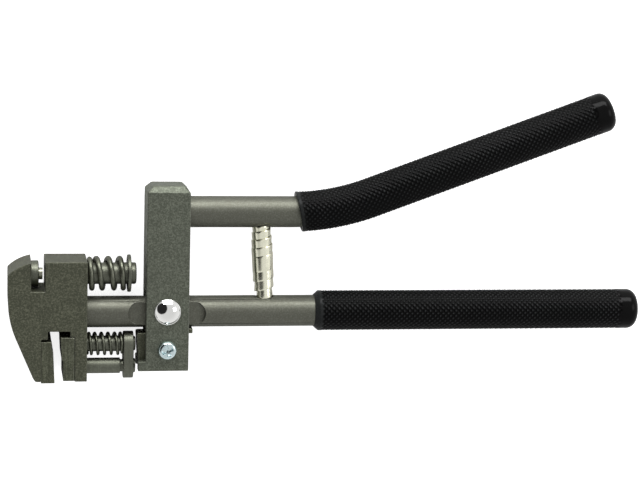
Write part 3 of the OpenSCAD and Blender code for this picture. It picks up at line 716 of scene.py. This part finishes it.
@dataclass
class Handles:
    """The two bars and their moulded grips."""

    bar_r: float = 8.0
    grip_r: float = 10.37
    handle_y: float = 51.5
    bend_deg: float = 20.4
    bend_r: float = 120.0
    vertex_x: float = 84.6
    mouth_x: float = 67.0
    mouth_slant: float = 8.8
    grip_length: float = 172.0
    end_wall: float = 4.0
    end_round: float = 5.0
    lower_x0: float = 76.0
    mouth_chamfer: float = 2.4
    around: int = 24
    samples: int = 7
    groove: float = 0.55
    smooth_end: float = 9.5

    @property
    def pitch(self) -> float:
        """Length of one diamond, round the grip and along it, in millimetres."""
        return TURN * self.grip_r / self.around

    def path(self, s: Array, upper: bool) -> tuple[Array, Array]:
        """The grip's axis: straight for the lower one; the bend's arc, then straight, for the upper.

        Args:
            s: Distances from the mouth, in millimetres.
            upper: Whether this is the upper handle.

        Returns:
            The points on the axis, N by 3, and the direction there as an angle in radians, N.
        """
        if not upper:
            return stacked(self.lower_x0 + s, 0.0, 0.0), np.zeros_like(s)
        bend = math.radians(self.bend_deg)
        start_x = self.vertex_x - self.bend_r * math.tan(bend / 2)
        along = s + (self.mouth_x - start_x)
        a = np.clip(along / self.bend_r, 0.0, bend)
        before = np.minimum(along, 0.0)
        after = np.maximum(along - bend * self.bend_r, 0.0)
        x = start_x + before + self.bend_r * np.sin(a) + after * math.cos(bend)
        y = self.handle_y + self.bend_r * (1 - np.cos(a)) + after * math.sin(bend)
        return stacked(x, y, 0.0), a

    def relief(self, s: Array, u: Array) -> Array:
        """Height of the diamond pattern, 0 in the grooves to 1 on the tops.

        Two families of grooves cross, where n u / 2 pi + s / p and n u / 2 pi - s / p are whole
        numbers. The height climbs from the nearest groove to a flat top.

        Args:
            s: Distance along the grip, in millimetres.
            u: Angle round it, in radians.

        Returns:
            The height at each point.
        """
        turn = self.around * u / TURN
        gaps = [np.abs(v - np.round(v)) for v in (turn + s / self.pitch, turn - s / self.pitch)]
        return np.clip(np.minimum(*gaps) / 0.44, 0.0, 1.0)

    def grip(self, name: str, upper: bool) -> Object:
        """Carries a ring along the grip's axis: in along its bore, out at its mouth, over the pattern
        and round its smooth end.

        Args:
            name: The piece's name.
            upper: Whether this is the upper grip.

        Returns:
            The grip.
        """
        length = self.grip_length
        flat_end = length - self.smooth_end
        bore_end, bore_r = length - self.end_wall, self.bar_r + 0.015
        bore = np.array([[bore_end, 0.02], [bore_end, self.bar_r - 0.1]])
        inner = stacked(np.linspace(bore_end, 0.35 if upper else 0.2, 28), bore_r)
        if upper:
            lip = [[0.3, bore_r], [0.0, self.bar_r + 0.3], [0.0, self.grip_r], [1.2, self.grip_r]]
        else:
            lip = [[0.15, bore_r], [0.0, self.bar_r + 0.25], [self.mouth_chamfer, self.grip_r],
                   [self.mouth_chamfer + 0.8, self.grip_r]]
        mouth = softened(lip, 0.55 if upper else 0.5, 5)
        outer_s = np.arange(mouth[-1, 0] + 0.3, flat_end, self.pitch / self.samples)
        outer = stacked(outer_s, self.grip_r)
        a = np.linspace(0, math.pi / 2, 15)[:-1]
        round_x, cap_r = length - self.end_round, self.grip_r - self.end_round
        end = np.concatenate([
            stacked(np.linspace(flat_end, round_x, 6)[:-1], self.grip_r),
            stacked(round_x + self.end_round * np.sin(a), cap_r + self.end_round * np.cos(a)),
            stacked(length, np.linspace(cap_r, 0.6, 5)),
        ])
        profile = np.concatenate([bore, inner, mouth, outer, end])
        shown = np.zeros(len(profile))
        first = len(bore) + len(inner) + len(mouth)
        ramp_in = np.clip((outer_s - mouth[-1, 0]) / 1.5, 0, 1)
        ramp_out = np.clip((flat_end - outer_s) / 1.5, 0, 1)
        shown[first:first + len(outer)] = np.minimum(ramp_in, ramp_out)
        u = np.linspace(0, TURN, self.around * self.samples, endpoint=False)
        s, r = profile[:, 0][:, None], profile[:, 1][:, None]
        height = self.relief(s, u[None, :])
        worked = shown[:, None] * (1 - height)
        radius = r - self.groove * worked
        slant = math.tan(math.radians(self.mouth_slant)) if upper else 0.0
        s_all = s - np.clip(1 - s / 14.0, 0, 1) * radius * np.cos(u)[None, :] * slant
        axis, turn = self.path(s_all.reshape(-1), upper)
        normal = stacked(-np.sin(turn), np.cos(turn), 0.0)
        uu = np.broadcast_to(u[None, :], s_all.shape).reshape(-1)
        rr = radius.reshape(-1)
        points = axis + (rr * np.cos(uu))[:, None] * normal
        points[:, 2] += rr * np.sin(uu)
        rings = points.reshape(len(profile), len(u), 3)
        end_mask = np.zeros(len(profile))
        end_mask[first + len(outer) - 4:] = 1.0
        values = {"relief": 1 - worked, "smooth_end": np.broadcast_to(end_mask[:, None], worked.shape)}
        return piece_from(name, carried(rings, Ends.CAPPED, values), 60.0)

    def build(self) -> None:
        """Makes and fits the bars and the grips."""
        machined("fixed_bar_satin", "fixed_bar", 0.25, Finish.BAR, "handle_bar")
        machined("upper_bar_satin", "upper_handle_bar", 0.0, Finish.BAR, "lever")
        fitted(self.grip("lower_grip_diamond", False), Finish.GRIP, "handle_bar", "lower_grip")
        fitted(self.grip("upper_grip_diamond", True), Finish.GRIP, "lever", "upper_grip")


@dataclass
class Coil:
    """A compression spring of round wire along X, with closed end turns."""

    name: str
    node: str
    x0: float
    x1: float
    y: float
    outer_d: float
    wire: float
    turns: float
    start: float = 0.0
    closed: float = 0.62
    per_turn: int = 72
    sides: int = 16

    def climb(self, s: Array) -> Array:
        """How far the wire has climbed after s turns, in pitches.

        It climbs at the closed rate at first, eases to the full rate over one turn, and does the same
        backwards at the far end.
        """
        total = self.turns - 2 + 2 * self.closed

        def near(t: Array) -> Array:
            """The climb from the near end, t turns in."""
            return np.where(t < 1, self.closed * (t * t + t) / 2, self.closed + t - 1)

        return np.where(s > self.turns / 2, total - near(self.turns - s), near(s))

    def build(self, body: str) -> None:
        """Carries the wire's round section along the helix.

        The wire's centre at angle a is (x(a), y + R cos a, R sin a), and its section turns in the plane
        of the axis and the radius there. Each end's wire is drawn in to a ground tip.

        Args:
            body: Not used.
        """
        steps = int(round(self.turns * self.per_turn))
        s = np.linspace(0, self.turns, steps + 1)
        a = TURN * (s + self.start)
        r = (self.outer_d - self.wire) / 2
        pitch = (self.x1 - self.x0 - self.wire) / float(self.climb(np.array([self.turns]))[0])
        x = self.x0 + self.wire / 2 + pitch * self.climb(s)
        tip = np.clip(np.minimum(s, self.turns - s) / 0.02, 0, 1)
        half = self.wire / 2 * np.sqrt(np.clip(1 - (1 - tip) ** 2, 0.05, 1))
        v = np.linspace(0, TURN, self.sides, endpoint=False)
        out = r + half[:, None] * np.cos(v)
        rings = stacked(x[:, None] + half[:, None] * np.sin(v), self.y + out * np.cos(a)[:, None],
                        out * np.sin(a)[:, None])
        # Ends are ground flat against their seats
        rings[..., 0] = np.clip(rings[..., 0], self.x0 + 0.02, self.x1 - 0.02)
        obj = fitted(piece_from(self.name, carried(rings), 50.0), Finish.SPRING, "", self.node)
        DATUM.point(self.x0, self.y)
        DATUM.point(self.x1, self.y)
        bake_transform(obj)


@dataclass
class Volute:
    """The flat strip spring between the handles, wound into a barrel."""

    low: tuple[float, float] = (50.4, 7.1)
    high: tuple[float, float] = (48.0, 44.4)
    low_r: float = 3.0
    high_r: float = 3.6
    middle_r: float = 5.1
    strip: float = 0.55
    width: float = 8.2
    turns: float = 8.6
    tilt: float = 0.34
    skew: float = 0.22

    def build(self) -> None:
        """Carries a rounded strip section up the barrel.

        The strip starts a turn below the barrel and ends a turn above it, and both are ground off, so
        its edges at turn a are clipped to the barrel's height. Its middle stands at radius
        r(h) = r_end + (r_middle - r_end) sin(pi h)^0.9, with h the share of the way up. The section
        leans so that each turn lies over the next, outwards at its bottom below the widest turn and
        at its top above it.
        """
        low, high = np.array(self.low), np.array(self.high)
        tall = float(np.linalg.norm(high - low))
        climb = (tall - self.width) / (self.turns - 2)
        steps = 900
        t = np.linspace(0, 1, steps + 1)
        a = TURN * self.turns * t
        travel = tall - self.width + 2 * climb
        base = travel * (t + self.skew * t * (1 - t)) - climb
        floor = np.clip(base, 0.0, tall - 0.35)
        top = np.clip(base + self.width, 0.35, tall)
        h = np.clip((base + self.width / 2) / tall, 0, 1)
        end_r = self.low_r + (self.high_r - self.low_r) * h
        r = end_r + (self.middle_r - end_r) * np.sin(math.pi * h) ** 0.9
        lean = self.tilt * np.tanh((0.47 - h) * 7)
        section = softened([[-1, -1], [1, -1], [1, 1], [-1, 1]], 0.35, 3, True)
        middle, half = (floor + top) / 2, (top - floor) / 2
        rise = middle[:, None] + section[:, 1] * np.maximum(half[:, None] - 0.2, 0.05)
        rise = rise + section[:, 1] * 0.2
        place = (rise - (base + self.width / 2)[:, None]) / (self.width / 2)
        radius = r[:, None] + section[:, 0] * self.strip / 2 - lean[:, None] * place
        x = radius * np.cos(a)[:, None]
        turn = math.atan2(-(high - low)[0], (high - low)[1])
        rings = stacked(
            low[0] + x * math.cos(turn) - rise * math.sin(turn),
            low[1] + x * math.sin(turn) + rise * math.cos(turn),
            -radius * np.sin(a)[:, None],
        )
        strip = piece_from("volute_strip_spring", carried(rings), 40.0)
        obj = fitted(strip, Finish.VOLUTE, "", "volute_spring")
        DATUM.point(*self.low)
        DATUM.point(*self.high)
        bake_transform(obj)


@dataclass
class Lever:
    """The lever block with its pivot pin, pusher block and cross-recess screw."""

    front: float = 10.95
    pivot_y: float = 1.75
    pivot_d: float = 7.86
    dome_d: float = 13.4
    dome_h: float = 3.4
    tail: float = 1.75
    screw_y: float = -17.9
    screw_d: float = 5.0
    screw_head_d: float = 9.6
    screw_head_h: float = 3.3
    recess_arm: float = 2.9
    recess_half: float = 0.85
    recess_deep: float = 2.7
    recess_turn: float = 20.0

    def pivot(self) -> Object:
        """Turns the pivot pin: a shallow dome with a fine step round its rim, a shank a little under
        the bore, and a grooved tail."""
        r = self.dome_d / 2
        rim = 0.7
        sphere_r = ((r - 0.5) ** 2 + (self.dome_h - rim) ** 2) / (2 * (self.dome_h - rim))
        a = np.linspace(0, math.asin((r - 0.5) / sphere_r), 26)[1:]
        dome = stacked(self.front + self.dome_h - sphere_r * (1 - np.cos(a)), sphere_r * np.sin(a))
        shank_r = self.pivot_d / 2
        edge = softened([dome[-1], [self.front + rim, r - 0.2], [self.front + rim - 0.25, r],
                         [self.front, r], [self.front, shank_r + 0.2]], 0.2, 4)
        back = -self.front - self.tail
        near, far = -self.front - 0.8, -self.front - 1.6
        groove = shank_r - 0.6
        shank = np.array([
            [self.front, shank_r], [near, shank_r], [near, groove], [far, groove],
            [far, shank_r - 0.05], [back + 0.05, shank_r - 0.15], [back, shank_r - 0.4], [back, 0.0],
        ])
        profile = np.concatenate([[[self.front + self.dome_h, 0.0]], dome, edge[1:], shank])
        return piece_from("pivot_pin_domed", turned(profile, (0, self.pivot_y, 0), Axis.ALONG_Z, 128))

    def screw(self) -> Object:
        """Turns the screw with a pan head, then sinks the cross recess into it.

        At radius q and angle u the head's face stands at the pan's crown less the recess, whose depth
        falls from the middle of the cross to its walls and its arms' ends.
        """
        r, h = self.screw_head_d / 2, self.screw_head_h
        top = self.front + h
        q = np.concatenate([np.linspace(0.04, 3.1, 46), np.linspace(3.2, r, 16)])
        u = np.linspace(0, TURN, 192, endpoint=False)
        crown = top - 0.55 * (q / r) ** 2 - 1.35 * np.clip((q - 3.0) / (r - 3.0), 0, 1) ** 3.2
        turn = u - math.radians(self.recess_turn)
        px, py = np.abs(q[:, None] * np.cos(turn)), np.abs(q[:, None] * np.sin(turn))
        long, short = np.maximum(px, py), np.minimum(px, py)
        wall = np.clip((self.recess_half - short) / 0.2, 0, 1)
        reach = np.clip((self.recess_arm - long) / 0.5, 0, 1)
        deep = self.recess_deep * np.minimum(wall, reach)
        deep = deep * (1 - 0.35 * np.clip(long / self.recess_arm, 0, 1))
        shank_r = self.screw_d / 2
        tail = np.array([
            [r, self.front + 0.12], [r - 0.15, self.front], [shank_r + 0.1, self.front],
            [shank_r, self.front - 0.2], [shank_r, -self.front + 0.5],
            [shank_r - 0.5, -self.front], [0.05, -self.front],
        ])

        def rings(radius: Array, height: Array) -> Array:
            """Rings of some radii round the screw's axis, at their heights."""
            out = radius[:, None]
            return stacked(out * np.cos(u), self.screw_y + out * np.sin(u), height)

        surface = np.concatenate([rings(q, crown[:, None] - deep), rings(tail[:, 0], tail[:, 1:])])
        return piece_from("pusher_screw_pan", carried(surface), 45.0)

    def build(self) -> None:
        """Makes and fits the lever's pieces."""
        machined("lever_block_milled", "lever_block", 0.45, Finish.LEVER, "lever", 3)
        machined("pusher_block_milled", "pusher_block", 0.3, Finish.JAW, "lever")
        fitted(self.pivot(), Finish.CHROME, "lever", "pivot_pin")
        fitted(self.screw(), Finish.ZINC, "lever", "pusher_screw")
        machined("pivot_washer_flat", "pivot_washer", 0.15, Finish.INNER, "lever")
        machined("pivot_ring_open", "pivot_circlip", 0.1, Finish.SPRING, "lever")
        dressed_nodes("handle_pin")


@dataclass
class Head:
    """The swivelling head with its punch, die and joggle anvil."""

    punch_y: float = 19.8
    collar_d: float = 13.3
    throat_x: float = -68.5
    collar_x: float = -64.6
    shank_d: float = 8.0
    shoulder_x: float = -66.2
    punch_d: float = 6.0
    tip_x: float = -62.6
    end_x: float = -76.5
    die_d: float = 11.0
    die_x: float = -61.6
    die_hole: float = 3.1
    die_relief: float = 3.7
    plunger_x: float = -15.45
    washer_d: float = 19.0
    washer_x: tuple[float, float] = (-19.9, -18.2)
    clip_d: float = 14.2
    clip_t: float = 0.9
    groove_r: float = 4.8

    def lathe(self, name: str, profile: Array, ring: bool = False) -> Object:
        """Turns a profile about the punch's axis."""
        return piece_from(name, turned(profile, (0, self.punch_y, 0), Axis.ALONG_X, 112, ring))

    def punch(self) -> Object:
        """Turns the punch, with its ground hollow point."""
        r, s = self.punch_d / 2, self.shank_d / 2
        profile = np.array([
            [self.end_x, 0.0], [self.end_x, s - 0.4], [self.end_x + 0.4, s], [self.shoulder_x, s],
            [self.shoulder_x, r + 0.05], [self.shoulder_x + 0.1, r], [self.tip_x - 0.05, r],
            [self.tip_x, r - 0.05], [self.tip_x - 0.45, 0.5], [self.tip_x - 0.5, 0.0],
        ])
        return piece_from("punch_ground", turned(profile, (0, self.punch_y, 0), Axis.ALONG_X), 25.0)

    def collar(self) -> Object:
        """Turns the collar that the punch sits in."""
        r, bore, shank = self.collar_d / 2, self.punch_d / 2 + 0.02, self.shank_d / 2
        loop = softened([
            [self.throat_x, shank], [self.throat_x, r], [self.collar_x, r],
            [self.collar_x, bore], [self.shoulder_x, bore], [self.shoulder_x, shank],
        ], [0.1, 0.25, 0.7, 0.1, 0.1, 0.1], 5, True)
        return self.lathe("punch_collar_turned", loop, True)

    def plunger(self) -> Object:
        """Turns the die plunger, hollow at its die end."""
        r = self.die_d / 2
        high = self.washer_x[1]
        clip_x, land, deep = high - self.clip_t, self.die_x + 3, self.die_x + 12
        corners = [
            [deep, 0.0], [deep, self.die_relief], [land, self.die_relief], [land, self.die_hole],
            [self.die_x, self.die_hole], [self.die_x, r], [clip_x, r], [clip_x, self.groove_r],
            [high, self.groove_r], [high, r], [self.plunger_x, r], [self.plunger_x, 0.0],
        ]
        radii = [0, 0.1, 0.1, 0.1, 0.08, 0.3, 0.05, 0.05, 0.05, 0.1, 0.9, 0]
        return self.lathe("die_plunger_turned", softened(corners, radii, 5))

    def washer(self) -> Object:
        """Turns the spring's washer, with the recess that its ring lies in."""
        low, high = self.washer_x
        floor = high - self.clip_t
        bore, rim, recess = self.die_d / 2, self.washer_d / 2, self.clip_d / 2
        loop = softened([
            [low, bore], [low, rim], [high, rim], [high, recess], [floor, recess], [floor, bore],
        ], [0.1, 0.45, 0.45, 0.12, 0.08, 0.05], 5, True)
        return self.lathe("plunger_washer_turned", loop, True)

    def build(self) -> None:
        """Makes and fits the head's pieces."""
        machined("head_block_milled", "head_block", 0.4, Finish.HEAD, "head", 3)
        machined("joggle_anvil_ground", "joggle_anvil", 0.3, Finish.JAW, "head")
        fitted(self.punch(), Finish.PUNCH, "head", "punch")
        fitted(self.collar(), Finish.ROD, "head", "punch_collar")
        fitted(self.plunger(), Finish.ROD, "punch_die", "die_plunger")
        fitted(self.washer(), Finish.ROD, "punch_die", "plunger_washer")
        machined("plunger_ring_open", "plunger_circlip", 0.1, Finish.SPRING, "punch_die")
        machined("anvil_socket_screws", "anvil_screws", 0.2, Finish.INNER, "head")
        dressed_nodes("swivel_pins", "detent_ball", "detent_spring", "detent_grub_screw",
                      "punch_grub_screw")


@dataclass
class JoggleSlide:
    """The moving joggle jaw on its two rods, with the plate that joins them."""

    drive_y: float = -16.6
    guide_y: float = -28.1
    rod_r: float = 4.0
    spigot_r: float = 3.0
    end_r: float = 3.7
    spigot_x: float = -51.2
    jaw_x: float = -46.75
    plate_x: float = -21.7
    rod_end_x: float = -15.45
    neck_r: float = 3.2
    neck_w: float = 1.5

    def rod(self, name: str, y: float, neck: bool) -> Object:
        """Turns a rod: spigot, sliding length, an optional neck, and its reduced end.

        Args:
            name: The piece's name.
            y: The rod's height.
            neck: Whether it has a neck before the plate.

        Returns:
            The rod.
        """
        neck_x = self.plate_x - self.neck_w
        step = [(self.plate_x, self.rod_r, 0.15)]
        if neck:
            step = [(neck_x, self.rod_r, 0.3), (neck_x, self.neck_r, 0.2),
                    (self.plate_x, self.neck_r, 0.1)]
        rows = np.array([
            (self.spigot_x, 0.0, 0.0), (self.spigot_x, self.spigot_r, 0.3),
            (self.jaw_x, self.spigot_r, 0.05), (self.jaw_x, self.rod_r, 0.2), *step,
            (self.plate_x, self.end_r, 0.05), (self.rod_end_x, self.end_r, 0.7),
            (self.rod_end_x, 0.0, 0.0),
        ])
        profile = softened(rows[:, :2], rows[:, 2], 5)
        return piece_from(name, turned(profile, (0, y, 0), Axis.ALONG_X))

    def build(self) -> None:
        """Makes and fits the slide's pieces."""
        machined("joggle_jaw_ground", "joggle_jaw", 0.3, Finish.JAW, "joggle_slide")
        for node, y, neck in (("drive_rod", self.drive_y, False), ("guide_rod", self.guide_y, True)):
            fitted(self.rod(node + "_ground", y, neck), Finish.ROD, "joggle_slide", node)
        machined("link_plate_milled", "link_plate", 0.35, Finish.ROD, "joggle_slide")
        dressed_nodes("jaw_pins")


@dataclass(frozen=True)
class SoftBox:
    """A rectangular light that faces the row frame's origin: its place and sides in metres."""

    name: str
    place: Triple
    sides: tuple[float, float]
    watts: float

    def hang(self) -> None:
        """Adds the light to the scene."""
        data = bpy.data.lights.new(self.name, "AREA")
        data.shape = "RECTANGLE"
        data.size, data.size_y = self.sides
        data.energy = self.watts
        obj = placed(self.name, data)
        obj.location = self.place
        obj.rotation_mode = "QUATERNION"
        obj.rotation_quaternion = (-Vector(self.place)).to_track_quat("-Z", "Y")


@dataclass
class Studio:
    """The pale floor, the soft lights and the camera."""

    floor_half: float = 3.0
    floor_gap: float = 0.0002
    floor_glow: float = 0.8
    lights: tuple[SoftBox, ...] = (
        SoftBox("far_soft_box", (0.0, 1.35, 0.62), (1.7, 0.6), 27.0),
        SoftBox("right_soft_box", (0.95, 0.22, 0.80), (0.55, 0.55), 2.4),
    )
    low_air: Triple = (0.88, 0.88, 0.88)
    high_air: Triple = (0.72, 0.72, 0.72)
    dark: Triple = (0.02, 0.02, 0.02)
    camera_place: Triple = (-0.178325, 0.185892, 1.086494)
    camera_right: Triple = (0.98764025, 0.02646676, 0.15448703)
    camera_up: Triple = (0.000671548, 0.984916437, -0.173029364)
    camera_back: Triple = (-0.15673634, 0.17099451, 0.97272535)
    lens: float = 120.95
    opening: Triple = (-0.64, 0.32, 0.70)

    def floor(self) -> None:
        """Makes the floor: a flat grid just under the tool, in matt white."""
        n = 9
        g = np.linspace(-self.floor_half, self.floor_half, n)
        x, y = np.meshgrid(g, g, indexing="ij")
        co = stacked(x, y, CAD_BOX[0].z - self.floor_gap).reshape(-1, 3)
        i = (np.arange(n - 1)[:, None] * n + np.arange(n - 1)).reshape(-1)
        mesh = bpy.data.meshes.new("studio_floor")
        mesh.from_pydata(co.tolist(), [], stacked(i, i + n, i + n + 1, i + 1).tolist())
        obj = placed("studio_floor", mesh)
        material, b, shader, place = material_start("matt_white_paper")
        seen = b.add("ShaderNodeLightPath").outputs["Is Camera Ray"]
        b.fill(shader, {
            "Base Color": b.blend(b.noise(place, 40.0, 3.0), (0.84, 0.84, 0.84), (0.88, 0.88, 0.88)),
            "Roughness": 0.9,
            "Emission Color": (1.0, 1.0, 1.0, 1.0),
            "Emission Strength": b.times(seen, self.floor_glow),
        })
        mesh.materials.append(material)

    def build(self) -> None:
        """Sets up the floor, the lights, the surroundings and the camera."""
        scene = bpy.context.scene
        self.floor()
        for light in self.lights:
            light.hang()
        world = bpy.data.worlds.new("studio_air")
        world.use_nodes = True
        b = Bench(world.node_tree)
        direction = b.add("ShaderNodeTexCoord").outputs["Generated"]
        height = b.add("ShaderNodeSeparateXYZ", {0: direction}).outputs[2]
        ceiling = b.blend(b.ramp(height, 0.05, 0.85), self.low_air, self.high_air)
        # A dark opening in the ceiling, up and to the left, that polished metal shows
        towards = b.add("ShaderNodeVectorMath", {0: direction, 1: self.opening},
                        operation="DOT_PRODUCT")
        inside = b.ramp(towards.outputs["Value"], 0.76, 0.83)
        b.fill(world.node_tree.nodes["Background"],
               {"Color": b.blend(inside, ceiling, self.dark), "Strength": 1.0})
        scene.world = world
        scene.view_settings.view_transform = "Standard"
        data = bpy.data.cameras.new("studio_camera")
        data.lens = self.lens
        data.sensor_width = 36.0
        data.clip_start, data.clip_end = 0.05, 20.0
        camera = placed("studio_camera", data)
        turn = Matrix(stacked(self.camera_right, self.camera_up, self.camera_back).tolist())
        camera.matrix_world = Matrix.Translation(self.camera_place) @ turn.to_4x4()
        scene.camera = camera


def main() -> None:
    """Builds the tool's sub-assemblies in order, then the studio."""
    logging.basicConfig(level=logging.INFO, format="%(name)s: %(message)s")
    Handles().build()
    Volute().build()
    Lever().build()
    Head().build()
    JoggleSlide().build()
    Coil("die_spring_wound", "die_spring", -40.5, -19.9, 19.8, 17.8, 2.8, 3.75).build("punch_die")
    Coil("joggle_spring_wound", "joggle_spring", -40.5, -21.7, -16.6, 12.1, 1.5, 5.9, 0.5).build(
        "joggle_slide")
    Studio().build()


if __name__ == "__main__":
    main()
